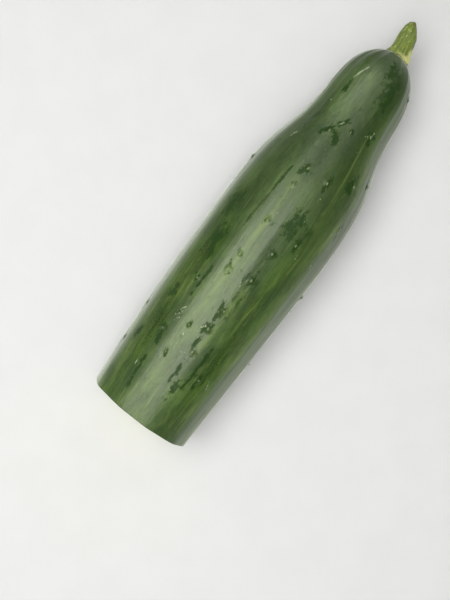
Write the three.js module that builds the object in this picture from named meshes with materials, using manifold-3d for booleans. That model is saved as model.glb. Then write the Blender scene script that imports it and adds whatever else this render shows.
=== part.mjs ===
// The stem end of a garden cucumber, cut square across the middle and lying on its side.
// Millimetres, +Z up. +X runs from the cut face towards the stem, and the fruit rests on a narrow flat
// along its underside. The origin is the middle of the whole piece, on the surface it lies on.
//
// The fruit is one solid: ten soft ribs, a thick middle, a narrow neck and a round shoulder, with rows of
// warts along it and three chambers of seeds in the cut face. The stem is a short ridged stalk.

import * as THREE from "three";
import { mergeVertices } from "three/addons/utils/BufferGeometryUtils.js";
import Module from "manifold-3d";

const wasm = await Module();
wasm.setup();

// Fruit, measured along its axis from the cut face
const FRUIT_LENGTH = 181.8;
const CUT_RADIUS = 23.05;
const BELLY_RADIUS = 26.0;
const BELLY_AT = 92;
const BELLY_FULLNESS = 0.6;
const NECK_DROP = 9.2;
const NECK_AT = 133;
const NECK_SPREAD = 8;
const SHOULDER_AT = 156;
const SHOULDER_END = 183;
const SHOULDER_POWER = 2.4;

// Lie of the fruit: a slight sideways bend, a drooping neck, and a flat pressed into the underside
const BEND = 1.0;
const BEND_SPAN = 135;
const BEND_SHIFT = -0.3;
const NECK_DROOP = 2.4;
const FLAT_DEPTH = 0.55;

// Ribs, the first at an angle from straight up towards +Y
const RIBS = 10;
const FIRST_RIB_DEGREES = 22;
const RIB_HEIGHT = 0.27;
const NECK_RIB_SHARE = 0.4;

// Cut face: a little askew, with three seed chambers sunk into it
const CUT_SLOPE = 0.0435;
const CUT_SLOPE_FADES = 26;
const CHAMBERS = 3;
const CHAMBER_RADIUS = 9.4;
const CHAMBER_LOBE = 0.24;
const CHAMBER_DEPTH = 0.5;
const CHAMBER_EDGE = 1.6;
const CHAMBER_TURN = THREE.MathUtils.degToRad(14);

// Seeds: an outer and an inner pair in each chamber, spread and leaning by radians to both sides
const SEED_LENGTH = 4.6;
const SEED_WIDTH = 1.9;
const SEED_HEIGHT = 0.45;
const SEED_PAIRS = [
  { radius: 6.3, spread: 0.2, lean: 0.32, size: 1 },
  { radius: 3.9, spread: 0.62, lean: 0.5, size: 0.72 },
];

// Warts: low blunt cones, their tip and foot radius as shares of their width
const WART_HEIGHT = 0.45;
const WART_ROOT = 0.8;
const WART_TIP = 0.24;
const WART_FOOT = 0.62;

// Warts that the upper side shows: distance from the cut, degrees from straight up, width
const SEEN_WARTS = [
  [22, 77, 1.9],
  [39, 78, 2.0],
  [113, 79, 2.0],
  [28, 13, 1.5],
  [42, 10, 1.6],
  [45, 24, 1.7],
  [59, 30, 1.9],
  [68.5, 12, 2.2],
  [76, 11, 1.5],
  [93, 9, 1.9],
  [110, 9, 1.6],
  [118.5, 7, 2.6],
  [137, 14, 2.2],
  [141, -7, 1.6],
  [145, -33, 2.3],
  [118, -15, 2.6],
  [111.5, -18, 1.6],
  [91, -25, 2.0],
  [83, -12, 2.4],
  [70, -11, 2.6],
  [54, -8, 2.2],
  [45, -6, 2.4],
  [34, -7, 2.0],
  [17, -11, 2.0],
  [26, -29, 2.0],
  [35, 29, 1.9],
  [124, -41, 2.0],
  [107, -56, 2.0],
  [129, -67, 1.9],
  [77, -84, 2.2],
  [169, -72, 2.2],
];

// Warts on the lower sides, drawn at loose steps along rows at these degrees, with none underneath
const HIDDEN_WART_ROWS = [106, 130, 238, 262];
const HIDDEN_WARTS_FROM = 8;
const HIDDEN_WARTS_TO = 166;
const HIDDEN_WART_STEP = 15;
const HIDDEN_WART_STAGGER = 5;
const HIDDEN_WART_SHIFT = 7;
const HIDDEN_WART_TURN = 14;
const HIDDEN_WART_WIDTH = 1.5;
const HIDDEN_WART_EXTRA = 1.0;
const FIRST_DRAW = 20117;

// Stem: a flared foot that stands just clear of the fruit, a little aside of its middle, and a stalk that
// tapers and curves to its cut
const STEM_GAP = 0.3;
const STEM_LENGTH = 15.7;
const STEM_ASIDE = -0.7;
const STEM_RADIUS = 4.65;
const STEM_FLARE = 0.75;
const STEM_FLARE_SHARE = 0.16;
const STEM_WAIST_LOSS = 0.75;
const STEM_WAIST_SHARE = 0.6;
const STEM_TIP_LOSS = 2.6;
const STEM_TIP_SHARE = 0.45;
const STEM_TIP_POWER = 2.5;
const STEM_DRIFT_Y = 2.6;
const STEM_DRIFT_Y_POWER = 1.6;
const STEM_DRIFT_Z = 2.0;
const STEM_DRIFT_Z_POWER = 2;
const STEM_RIDGES = 5;
const STEM_RIDGE = 0.07;
const STEM_RIDGE_FADE = 0.6;
const STEM_CUT_SLOPE = 0.2;
const STEM_CUT_FROM = 0.55;

// Fineness of the facets, and the rings of the cut face and the stem as shares of their reach
const SIDES_AROUND = 60;
const STEM_SIDES = 30;
const WART_SIDES = 6;
const SEED_SIDES = 10;
const SEED_RINGS = 6;
const CUT_RINGS = [0, 0.05, 0.1, 0.16, 0.22, 0.28, 0.34, 0.41, 0.5];
const STEM_RINGS = [0, 0.04, 0.08, 0.13, 0.2, 0.3, 0.4, 0.5, 0.6, 0.7, 0.78, 0.86, 0.93, 0.98, 1];

// Closeness at which corners are the same, and the steps along and round the skin that give its slope
const SAME_PLACE = 1e-4;
const NEAR_ALONG = 0.5;
const NEAR_TURN = 0.02;

const clamp01 = (value) => Math.min(1, Math.max(0, value));
const smooth = (value) => {
  const t = clamp01(value);
  return t * t * (3 - 2 * t);
};

// How far the fruit has narrowed to its neck at a distance from the cut, from 0 to 1
const neckShare = (along) => 1 / (1 + Math.exp(-(along - NECK_AT) / NECK_SPREAD));

// Radius without the neck: it swells from the cut to the belly and stays there
function bellyRadius(along) {
  const t = clamp01(along / BELLY_AT);
  return CUT_RADIUS + (BELLY_RADIUS - CUT_RADIUS) * t * (1 + BELLY_FULLNESS * (1 - t));
}

function fruitRadius(along) {
  const t = clamp01((along - SHOULDER_AT) / (SHOULDER_END - SHOULDER_AT));
  return (bellyRadius(along) - NECK_DROP * neckShare(along)) * Math.sqrt(1 - t ** SHOULDER_POWER);
}

// Middle of the fruit's section at a distance from the cut
const middleY = (along) => BEND_SHIFT + BEND * Math.cos((Math.PI * along) / BEND_SPAN);
const middleZ = (along) => bellyRadius(along) - FLAT_DEPTH - NECK_DROOP * neckShare(along);

// How far a rib stands out of the round section, positive on a rib and negative between two
function ribRise(along, angle) {
  const strength = 1 - (1 - NECK_RIB_SHARE) * neckShare(along);
  const ends = 1 - smooth((along - SHOULDER_AT) / (SHOULDER_END - SHOULDER_AT));
  const turn = angle - THREE.MathUtils.degToRad(FIRST_RIB_DEGREES);
  return RIB_HEIGHT * strength * ends * Math.cos(RIBS * turn);
}

// A point of the fruit: share is 1 on the skin and 0 on the axis
function fruitPoint(along, angle, share = 1) {
  const radius = (fruitRadius(along) + ribRise(along, angle)) * share;
  const y = middleY(along) + radius * Math.sin(angle);
  const z = Math.max(0, middleZ(along) + radius * Math.cos(angle));
  const askew = CUT_SLOPE * (y - CUT_RADIUS) * (1 - smooth(along / CUT_SLOPE_FADES));
  return new THREE.Vector3(along + askew, y, z);
}

// Depth of the seed chambers below the cut face: lobes round its middle
function chamberDepth(radius, angle) {
  const lobe = Math.cos(CHAMBERS * (angle - CHAMBER_TURN));
  const edge = CHAMBER_RADIUS * (1 - CHAMBER_LOBE + CHAMBER_LOBE * lobe);
  return CHAMBER_DEPTH * smooth((edge - radius) / CHAMBER_EDGE) * smooth(radius / CHAMBER_EDGE);
}

// Moves each vertex of a lathe by a rule that gets its distance along the axis, angle and radius
function reshape(geometry, rule) {
  const position = geometry.attributes.position;
  const point = new THREE.Vector3();
  for (let i = 0; i < position.count; i++) {
    point.fromBufferAttribute(position, i);
    const moved = rule(point.y, Math.atan2(point.x, point.z), Math.hypot(point.x, point.z));
    position.setXYZ(i, moved.x, moved.y, moved.z);
  }
  return geometry;
}

// A closed three.js geometry as a solid, with its faces turned outwards
function solidOf(geometry) {
  const bare = geometry.clone();
  bare.deleteAttribute("normal");
  bare.deleteAttribute("uv");
  const merged = mergeVertices(bare, SAME_PLACE);
  const corners = merged.index.array;
  const kept = [];
  for (let i = 0; i < corners.length; i += 3) {
    const [a, b, c] = corners.slice(i, i + 3);
    if (a !== b && b !== c && c !== a) kept.push(a, b, c);
  }
  const build = (triVerts) =>
    new wasm.Manifold(
      new wasm.Mesh({
        numProp: 3,
        vertProperties: new Float32Array(merged.attributes.position.array),
        triVerts: new Uint32Array(triVerts),
      }),
    );
  const solid = build(kept);
  return solid.volume() > 0 ? solid : build(kept.reverse());
}

function geometryOf(solid) {
  const { numProp, numVert, vertProperties, triVerts } = solid.getMesh();
  const positions = new Float32Array(numVert * 3);
  for (let i = 0; i < numVert; i++) {
    positions.set(vertProperties.subarray(i * numProp, i * numProp + 3), i * 3);
  }
  const geometry = new THREE.BufferGeometry();
  geometry.setAttribute("position", new THREE.BufferAttribute(positions, 3));
  geometry.setIndex(new THREE.BufferAttribute(triVerts, 1));
  geometry.computeVertexNormals();
  return geometry;
}

// Distances along the fruit at which its section is drawn: closer together on the neck and shoulder
function fruitStations() {
  const stations = [];
  const runs = [
    { from: 0, to: 104, steps: 11 },
    { from: 104, to: 160, steps: 13 },
    { from: 160, to: 175, steps: 5 },
    { from: 175, to: FRUIT_LENGTH, steps: 5 },
  ];
  for (const { from, to, steps } of runs) {
    for (let i = 0; i < steps; i++) stations.push(from + ((to - from) * i) / steps);
  }
  stations.push(FRUIT_LENGTH);
  return stations;
}

// The cut face is drawn first, at -1 along the axis, with each ring's radius as a share of the rim's
function fruitBody() {
  const profile = CUT_RINGS.map((share) => new THREE.Vector2(share * CUT_RADIUS, -1));
  for (const along of fruitStations()) profile.push(new THREE.Vector2(fruitRadius(along), along));
  profile.push(new THREE.Vector2(0, FRUIT_LENGTH));
  const lathe = new THREE.LatheGeometry(profile, SIDES_AROUND);
  return reshape(lathe, (along, angle, radius) => {
    if (along < 0) {
      const point = fruitPoint(0, angle, radius / CUT_RADIUS);
      point.x += chamberDepth(radius, angle);
      return point;
    }
    return fruitPoint(along, angle, radius / fruitRadius(along));
  });
}

// Places of the seeds, each pointing at the middle of the cut face
function seedPlaces() {
  const places = [];
  for (let chamber = 0; chamber < CHAMBERS; chamber++) {
    const middle = CHAMBER_TURN + (chamber * 2 * Math.PI) / CHAMBERS;
    for (const side of [-1, 1]) {
      for (const { radius, spread, lean, size } of SEED_PAIRS) {
        places.push({ radius, angle: middle + side * spread, lean: side * lean, size });
      }
    }
  }
  return places;
}

function seed({ radius, angle, lean, size }) {
  const across = fruitPoint(0, angle, radius / CUT_RADIUS);
  const shape = new THREE.SphereGeometry(0.5, SEED_SIDES, SEED_RINGS);
  shape.scale(2 * SEED_HEIGHT, SEED_WIDTH * size, SEED_LENGTH * size);
  shape.rotateX(-angle - lean);
  shape.translate(across.x + chamberDepth(radius, angle), across.y, across.z);
  return solidOf(shape);
}

// Draws between 0 and 1 from a fixed start, so that every build places the same warts
function drawsFrom(first) {
  let state = first;
  return () => {
    state = (Math.imul(state, 1664525) + 1013904223) >>> 0;
    return state / 2 ** 32;
  };
}

function hiddenWarts() {
  const draw = drawsFrom(FIRST_DRAW);
  const places = [];
  for (const [row, rowDegrees] of HIDDEN_WART_ROWS.entries()) {
    const from = HIDDEN_WARTS_FROM + HIDDEN_WART_STAGGER * (row % 2);
    for (let along = from; along < HIDDEN_WARTS_TO; along += HIDDEN_WART_STEP) {
      const shift = (draw() - 0.5) * HIDDEN_WART_SHIFT;
      const turn = (draw() - 0.5) * HIDDEN_WART_TURN;
      const width = HIDDEN_WART_WIDTH + HIDDEN_WART_EXTRA * draw();
      places.push([along + shift, rowDegrees + turn, width]);
    }
  }
  return places;
}

function wart([along, degrees, width]) {
  const angle = THREE.MathUtils.degToRad(degrees);
  const foot = fruitPoint(along, angle);
  const ahead = fruitPoint(along + NEAR_ALONG, angle).sub(foot);
  const aside = fruitPoint(along, angle + NEAR_TURN).sub(foot);
  const outward = new THREE.Vector3().crossVectors(ahead, aside).normalize();
  const height = WART_HEIGHT + WART_ROOT;
  const shape = new THREE.CylinderGeometry(width * WART_TIP, width * WART_FOOT, height, WART_SIDES);
  shape.translate(0, (WART_HEIGHT - WART_ROOT) / 2, 0);
  shape.applyQuaternion(new THREE.Quaternion().setFromUnitVectors(new THREE.Vector3(0, 1, 0), outward));
  shape.translate(foot.x, foot.y, foot.z);
  return solidOf(shape);
}

function fruit() {
  let solid = solidOf(fruitBody());
  for (const place of seedPlaces()) solid = solid.add(seed(place));
  for (const place of [...SEEN_WARTS, ...hiddenWarts()]) solid = solid.add(wart(place));
  return geometryOf(solid);
}

// Half width of the stem at a share of its length
function stemRadius(share) {
  const flare = STEM_FLARE * (1 - smooth(share / STEM_FLARE_SHARE));
  const waist = STEM_WAIST_LOSS * smooth(share / STEM_WAIST_SHARE);
  const tip = STEM_TIP_LOSS * clamp01((share - STEM_TIP_SHARE) / (1 - STEM_TIP_SHARE)) ** STEM_TIP_POWER;
  return STEM_RADIUS + flare - waist - tip;
}

function stem() {
  const profile = [new THREE.Vector2(0, 0)];
  for (const share of STEM_RINGS) profile.push(new THREE.Vector2(stemRadius(share), share));
  profile.push(new THREE.Vector2(0, 1));
  const lathe = new THREE.LatheGeometry(profile, STEM_SIDES);
  const foot = fruitPoint(FRUIT_LENGTH, 0, 0);
  const shape = reshape(lathe, (share, angle, radius) => {
    const ridge = STEM_RIDGE * Math.cos(STEM_RIDGES * angle) * (1 - STEM_RIDGE_FADE * share);
    const y = radius * (1 + ridge) * Math.sin(angle);
    const z = radius * (1 + ridge) * Math.cos(angle);
    const oblique = STEM_CUT_SLOPE * y * smooth((share - STEM_CUT_FROM) / (1 - STEM_CUT_FROM));
    return new THREE.Vector3(
      foot.x + STEM_GAP + share * STEM_LENGTH + oblique,
      foot.y + y + STEM_ASIDE + STEM_DRIFT_Y * share ** STEM_DRIFT_Y_POWER,
      foot.z + z + STEM_DRIFT_Z * share ** STEM_DRIFT_Z_POWER,
    );
  });
  return geometryOf(solidOf(shape));
}

function named(name, geometry, color, roughness) {
  const material = new THREE.MeshStandardMaterial({ color, roughness, metalness: 0 });
  const mesh = new THREE.Mesh(geometry, material);
  mesh.name = name;
  return mesh;
}

const cucumber = new THREE.Group();
cucumber.add(named("fruit", fruit(), 0x3f5d34, 0.45));
cucumber.add(named("stem", stem(), 0x7f9a3f, 0.6));

// The middle of the whole piece goes over the origin
const middle = new THREE.Box3().setFromObject(cucumber).getCenter(new THREE.Vector3());
for (const mesh of cucumber.children) mesh.position.set(-middle.x, -middle.y, 0);

export default cucumber;
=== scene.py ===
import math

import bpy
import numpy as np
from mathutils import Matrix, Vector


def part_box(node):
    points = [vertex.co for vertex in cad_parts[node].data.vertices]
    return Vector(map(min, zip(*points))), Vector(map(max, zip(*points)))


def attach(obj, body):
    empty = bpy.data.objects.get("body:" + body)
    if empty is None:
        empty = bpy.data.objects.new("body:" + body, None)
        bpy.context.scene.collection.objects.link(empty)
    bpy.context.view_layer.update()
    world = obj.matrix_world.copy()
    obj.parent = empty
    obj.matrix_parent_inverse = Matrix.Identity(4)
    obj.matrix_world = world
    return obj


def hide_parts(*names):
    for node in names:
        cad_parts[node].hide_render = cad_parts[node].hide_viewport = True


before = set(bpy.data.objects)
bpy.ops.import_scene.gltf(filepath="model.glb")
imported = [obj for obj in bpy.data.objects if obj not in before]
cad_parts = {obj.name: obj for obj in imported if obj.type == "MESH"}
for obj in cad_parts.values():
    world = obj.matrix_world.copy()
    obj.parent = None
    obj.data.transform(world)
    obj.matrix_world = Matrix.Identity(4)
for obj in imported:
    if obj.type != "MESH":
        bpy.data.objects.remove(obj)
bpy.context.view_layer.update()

# The stem end of a garden cucumber, cut square across the middle and lying on its side.
# Lengths are in millimetres up to add_mesh, which writes metres. Angles round the fruit are measured from
# straight up towards +Y. Distances along it are measured from the cut face.

MM = 0.001
TURN = 2 * math.pi

# Fruit, as in the solids
FRUIT_LENGTH = 181.8
CUT_RADIUS = 23.05
BELLY_RADIUS = 26.0
BELLY_AT = 92
BELLY_FULLNESS = 0.6
NECK_DROP = 9.2
NECK_AT = 133
NECK_SPREAD = 8
SHOULDER_AT = 156
SHOULDER_END = 183
SHOULDER_POWER = 2.4
BEND = 1.0
BEND_SPAN = 135
BEND_SHIFT = -0.3
NECK_DROOP = 2.4
FLAT_DEPTH = 0.55
RIBS = 10
FIRST_RIB = math.radians(22)
RIB_HEIGHT = 0.27
NECK_RIB_SHARE = 0.4
CUT_SLOPE = 0.0435
CUT_SLOPE_FADES = 26

# Finer forms of the skin that only the looks have
RIB_EDGE = 0.03
RIB_UNEVENNESS = 0.35
SWELL = 0.16
RIPPLE = 0.05
PLEAT = 0.28
BODY_PLEAT_SHARE = 0.15
LEAN_TURN = math.radians(13)
LEAN_PLACE = math.radians(-8)
LEAN_REACH = math.radians(16)
LEAN_FROM = 25
LEAN_TO = 90
FLOOR_SOFTNESS = 0.08

# Cut end: width of the dark skin seen edge-on, and the recess that holds the flesh
SKIN_START = 0.35
SKIN_THICKNESS = 0.55
RECESS_DEPTH = 1.2
FLESH_THICKNESS = 0.9
FLESH_BULGE = 0.28
FLESH_OVERLAP = 0.04
GEL_DEPTH = 0.34
VEINS = 15
FAINT_VEINS = 9
FAINT_VEIN_STRENGTH = 0.22
VEIN_PLACES = (0.86, 0.97)
FAINT_VEIN_PLACES = (0.5, 0.66)
VEIN_STRENGTHS = (0.5, 1.0)
VEIN_LENGTHS = (0.4, 1.0)
VEIN_WIDTHS = (0.3, 0.6)
FLESH_GRAIN = 0.05
KNIFE_MARK = 0.015
WALL_RISE = 0.08
VEIN_SINK = 0.05
RAYS = 44

# Edge of the skin at the cut: how far behind the cut, and how far inside the rim
EDGE_PROFILE = [(0.12, 0.10), (0.03, 0.24), (0.0, SKIN_THICKNESS), (RECESS_DEPTH, SKIN_THICKNESS + 0.05)]

# Seed chambers and seeds
CHAMBERS = 3
CHAMBER_RADIUS = 9.4
CHAMBER_LOBE = 0.24
CHAMBER_EDGE = 1.6
CHAMBER_TURN = math.radians(14)
SEED_LENGTH = 4.6
SEED_WIDTH = 1.9
SEED_HEIGHT = 0.42
SEED_LEANS = (-0.12, 0.12)
SEED_SIZES = (0.9, 1.1)
SEED_PAIRS = [
    {"radius": 6.3, "spread": 0.2, "lean": 0.32, "size": 1.0},
    {"radius": 3.9, "spread": 0.62, "lean": 0.5, "size": 0.72},
]

# Form of a wart, with its width as 1, and the shallow ring sunk round it
WART_HEIGHT = 0.45
WART_REACH = 0.62
WART_STRETCH = 1.35
MOAT_DEPTH = 0.08
WART_HEIGHT_SHARES = (0.75, 1.1)
RING_STRETCHES = (1.1, 1.9)
RING_REACHES = (1.6, 2.4)
RING_STRENGTHS = (0.6, 1.0)

# Corky tip of a wart, with the wart's width as 1: size, lean, and length for its width
TIP_SIZES = (0.07, 0.14)
TIP_LEANS = (-0.6, 0.6)
TIP_STRETCHES = (1.5, 3.0)
TIP_RISE = 0.8
TIP_SINK = 0.6

# Warts on the upper side: distance from the cut, degrees, width
SEEN_WARTS = [
    (22, 77, 1.9), (39, 78, 2.0), (113, 79, 2.0), (28, 13, 1.5), (42, 10, 1.6), (45, 24, 1.7),
    (59, 30, 1.9), (68.5, 12, 2.2), (76, 11, 1.5), (93, 9, 1.9), (110, 9, 1.6), (118.5, 7, 2.6),
    (137, 14, 2.2), (141, -7, 1.6), (145, -33, 2.3), (118, -15, 2.6), (111.5, -18, 1.6),
    (91, -25, 2.0), (83, -12, 2.4), (70, -11, 2.6), (54, -8, 2.2), (45, -6, 2.4), (34, -7, 2.0),
    (17, -11, 2.0), (26, -29, 2.0), (35, 29, 1.9), (124, -41, 2.0), (107, -56, 2.0),
    (129, -67, 1.9), (77, -84, 2.2), (169, -72, 2.2),
]

# Warts drawn on the lower sides, by the same draws as in the solids
HIDDEN_WART_ROWS = (106, 130, 238, 262)
HIDDEN_WARTS_FROM = 8
HIDDEN_WARTS_TO = 166
HIDDEN_WART_STEP = 15
HIDDEN_WART_STAGGER = 5
HIDDEN_WART_SHIFT = 7
HIDDEN_WART_TURN = 14
HIDDEN_WART_WIDTH = 1.5
HIDDEN_WART_EXTRA = 1.0
FIRST_DRAW = 20117

# Places where the bloom is rubbed off: distance from the cut, degrees, length, width
RUBBED = [
    (98.4, -13, 11, 5.0), (94.5, -9, 5, 3.4), (77, 39, 10, 5.5), (71, 34, 6, 3.0), (92.6, 49, 10, 5.5),
    (91, -25.6, 5, 2.8), (98, -28, 3, 2.4), (123.6, -38, 7, 4.2), (165, -22, 17, 6.5), (171, -12, 9, 4.5),
    (26, -29, 7, 3.2), (53.7, -7.6, 4, 4.0), (60, -13, 6, 2.4), (107, -58, 6, 1.3),
    (129, -65, 5, 1.2), (34, 29, 5, 2.2),
    (18, -13, 7, 3.0), (45, -6, 5, 4.0), (70, -11, 6, 4.4), (83, -13, 5, 3.0), (140.7, 41, 4, 1.2),
    (24, -6, 8, 1.4), (38, -4.5, 6, 1.5), (50, -5, 6, 1.6), (61, -9, 5, 1.3), (145, -33, 5, 3.5),
    (28, 52, 7, 2.4), (50, 44, 9, 3.0), (156, 33, 8, 2.0),
]
HIDDEN_RUBS = 34
HIDDEN_RUBS_ALONG = (6, 172)
HIDDEN_RUBS_DEGREES = (95, 265)
HIDDEN_RUB_LENGTHS = (3, 11)
HIDDEN_RUB_WIDTHS = (1.5, 4.5)

# Soft places of more or less bloom, some of them painted light: distance from the cut, degrees, length,
# width, strength
# Painted highlight on the -Y flank, and painted shade on the neck and shoulder
BLOOM_AND_PAINTED_LIGHT_PLACES = [
    (155, 22, 38, 12, 1.2), (160, -24, 44, 15, -1.0), (92, 49, 22, 8, -0.5), (74, 37, 20, 9, -0.5),
    (33, 40, 30, 7, -0.6), (60, 47, 50, 9, -0.3), (140, 44, 40, 8, -0.5), (128, -10, 26, 22, -0.3),
    (30, -33, 40, 7, -0.4), (150, -45, 50, 6, 0.5), (35, -68, 80, 10, 0.8), (70, -3, 60, 5, -0.3),
    (20, 62, 40, 6, 0.5), (40, -76, 90, 9, 1.0), (120, -60, 70, 5, 0.4), (128, 14, 30, 7, 0.3),
    (132, -5, 44, 30, -0.3), (175, -4, 16, 46, -0.5), (30, -50, 46, 3, 0.9), (56, -58, 60, 3, 0.9),
    (112, -52, 50, 3, 0.8),
]

# Painted shade: the skin darkens towards the stem: where this starts, over what length, and how much
STEM_END_PAINTED_SHADE_FROM = 35
STEM_END_PAINTED_SHADE_LENGTH = 90
STEM_END_PAINTED_SHADE = 0.68

# Bloom: everywhere, on alternate facets as painted light, on the ribs, on the neck, and by the places of
# bloom and painted light above
BLOOM = 0.14
FACET_PAINTED_LIGHT = 0.07
RIB_BLOOM = 0.03
NECK_BLOOM = 0.06
BLOOM_AND_PAINTED_LIGHT_WEIGHT = 0.22

# Rubbed places, and the painted shade among them, are dull round the middle of the upper facet, and smooth
# elsewhere
TOP_PLACE = math.radians(4)
TOP_REACH = math.radians(20)

# Scuffs along a line, and painted shadow along the upper rib in the lines at 20 to 28 degrees between 8 and
# 116 mm from the cut: distance and degrees at both ends, and width
SCUFFS_AND_PAINTED_RIB_SHADOW = [
    (19.8, -19.6, 38.6, -21, 1.5), (8, 25.5, 21.7, 27.5, 1.4), (29, 26, 36.7, 28, 1.7),
    (134.2, 20.8, 138.1, 15, 2.0), (138.1, 15, 144.3, 4, 1.9), (133.1, 0.7, 137.1, 6.5, 2.0),
    (52, 25, 66, 24, 1.0), (86, 23, 101, 22, 0.9), (101, 22, 116, 20, 0.9),
]

# Thin pale scars, partly painted glints, given in the same way, and how high they stand
SCAR_HEIGHT = 0.10
SCARS_AND_PAINTED_GLINTS = [
    (39.9, 24.3, 42.5, 21.8, 0.6), (42.1, 25.9, 44.7, 22.4, 0.6), (45.5, 25.5, 47.1, 21.7, 0.6),
    (31.5, 1.5, 32.8, -6.6, 0.6), (43.9, 0, 45.8, -3, 0.6), (161.5, 33, 164.5, 30, 0.9),
    (164, 31, 168, 24, 1.0), (143.8, -26, 145, -34, 0.7), (145, -34, 147.5, -36, 0.6),
    (140.5, 11, 143.2, 6.5, 0.6),
]

# Faint short scratches of the upper facets, drawn at random between these places
SCRATCHES = 30
SCRATCHES_ALONG = (6, 150)
SCRATCHES_DEGREES = (-75, 85)
SCRATCH_LENGTHS = (1.5, 6)
SCRATCH_DRIFTS = (-4, 4)
SCRATCH_WIDTHS = (0.3, 0.5)
SCRATCH_STRENGTH = 0.66

# Pale lines along the fruit, the one at 22.5 degrees a painted highlight along the upper rib: degrees, start,
# end, width
PALE_LINES_AND_RIB_HIGHLIGHT = [
    (10, 44, 116, 1.7), (-11, 20, 74, 1.6), (22.5, 22, 118, 0.8), (-50, 30, 150, 2.2), (-29, 84, 150, 0.9),
    (58, 6, 80, 1.0), (94, 10, 160, 1.6), (130, 14, 150, 1.5), (166, 20, 150, 1.5), (202, 20, 150, 1.5),
    (238, 10, 150, 1.5), (274, 10, 150, 1.6),
]

# Stem, as in the solids
STEM_GAP = 0.3
STEM_LENGTH = 15.7
STEM_ASIDE = -0.7
STEM_RADIUS = 4.65
STEM_FLARE = 0.75
STEM_FLARE_SHARE = 0.16
STEM_WAIST_LOSS = 0.75
STEM_WAIST_SHARE = 0.6
STEM_TIP_LOSS = 2.6
STEM_TIP_SHARE = 0.45
STEM_TIP_POWER = 2.5
STEM_DRIFT_Y = 2.6
STEM_DRIFT_Y_POWER = 1.6
STEM_DRIFT_Z = 2.0
STEM_RIDGES = 5
STEM_RIDGE = 0.07
STEM_RIDGE_FADE = 0.6
STEM_CUT_SLOPE = 0.2
STEM_CUT_FROM = 0.55

# Finer forms of the stem that only the looks have
STEM_GROOVE = 0.022
STEM_LUMPS = 0.16
STEM_PIMPLES = 0.10
COLLAR_WAVE = 0.22
COLLAR_LOBES = 0.45
COLLAR_SHARE = 0.2
KNOBS = 0.7
CORNER_ROUND = 0.9
CORNER_FROM = 0.72

# Rings of the stem's dry end: size, how far they are sunk, share of pith
STEM_END_RINGS = [
    (0.93, -0.05, 0.25), (0.84, 0.10, 0.6), (0.66, 0.42, 0.9), (0.48, 0.62, 1.0), (0.30, 0.60, 0.9),
    (0.14, 0.52, 0.8),
]

# Fineness of the meshes. A run of rows has its start, end and number of steps.
SKIN_COLUMNS = 300
SKIN_RUNS = [(SKIN_START, 3, 6), (3, 174, 270), (174, FRUIT_LENGTH, 26)]
FLESH_RINGS = 90
SEED_ROWS = 11
SEED_COLUMNS = 26
TIP_ROWS = 6
TIP_COLUMNS = 16
STEM_COLUMNS = 120
STEM_RUNS = [(0, 0.2, 24), (0.2, 1.0, 70)]
STEM_SOLID_SIDES = 30

# Places in the bake's square, which is 1 wide, and as many cut radii wide for the flesh
FLESH_UV_RADII = 2.2
BACK_UV_PLACE = 0.97
BACK_UV_SIZE = 0.05
EDGE_UV_START = 0.012
EDGE_UV_STEP = 0.006
SKIN_UV_START = 0.045
SKIN_UV_REACH = 0.935
STEM_UV_START = 0.02
STEM_UV_REACH = 0.80
STEM_END_UV_START = 0.84
STEM_END_UV_STEP = 0.024
CAP_UV_STEP = 0.008

# Colours of the skin, the cut face and the stem
DEEP_GREEN = (0.018, 0.047, 0.003)
LEAF_GREEN = (0.066, 0.126, 0.016)
LIME_GREEN = (0.15, 0.22, 0.036)
DARK_STREAK = (0.018, 0.050, 0.004)
PALE_STREAK = (0.16, 0.22, 0.085)
# Painted light among these: the shade green and the bare green also paint shade, the bloom grey paints
# highlight, the line green a highlight along the upper rib, the scar buff glints
DARK_SKIN_AND_PAINTED_SHADE_GREEN = (0.014, 0.038, 0.003)
BARE_AND_PAINTED_SHADE_GREEN = (0.009, 0.038, 0.001)
BLOOM_AND_PAINTED_HIGHLIGHT_GREY = (0.23, 0.285, 0.19)
PALE_LINE_AND_HIGHLIGHT_GREEN = (0.15, 0.22, 0.055)
SCAR_AND_GLINT_BUFF = (0.36, 0.42, 0.26)
WART_OLIVE = (0.21, 0.27, 0.11)
EDGE_GREEN = (0.030, 0.085, 0.014)
FLESH_PALE = (0.87, 0.88, 0.45)
FLESH_WARM = (0.77, 0.81, 0.31)
FLESH_OUTER = (0.62, 0.74, 0.19)
FLESH_LIME = (0.44, 0.62, 0.060)
FLESH_RIM = (0.12, 0.28, 0.015)
GEL_YELLOW = (0.74, 0.70, 0.15)
WALL_CREAM = (0.88, 0.88, 0.56)
VEIN_GREEN = (0.16, 0.34, 0.02)
FIBRE_CREAM = (0.90, 0.91, 0.62)
SEED_MIDDLE = (0.74, 0.73, 0.27)
SEED_RIM = (0.92, 0.91, 0.62)
SEED_CLOUD = (0.80, 0.79, 0.38)
STEM_DARK = (0.085, 0.135, 0.012)
STEM_LIGHT = (0.185, 0.24, 0.028)
STEM_STRIPE = (0.065, 0.11, 0.012)
STEM_FIBRE = (0.32, 0.38, 0.10)
STEM_GRAIN = (0.42, 0.47, 0.15)
STEM_PALE = (0.66, 0.66, 0.24)
STEM_PIMPLE = (0.41, 0.46, 0.17)
STEM_DRY = (0.16, 0.085, 0.028)
STEM_PITH = (0.36, 0.29, 0.12)
CORK_DARK = (0.11, 0.16, 0.055)
CORK_LIGHT = (0.24, 0.30, 0.13)
FLOOR_LOW = (0.655, 0.655, 0.645)
FLOOR_HIGH = (0.67, 0.67, 0.66)

# Camera: straight above, turned so that the fruit runs to the upper right of the picture
CAMERA_AHEAD_OF_CUT = 58
CAMERA_ASIDE = -1.3
CAMERA_HEIGHT = 400
CAMERA_LENS = 54
CAMERA_TURN = -54.74

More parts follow.
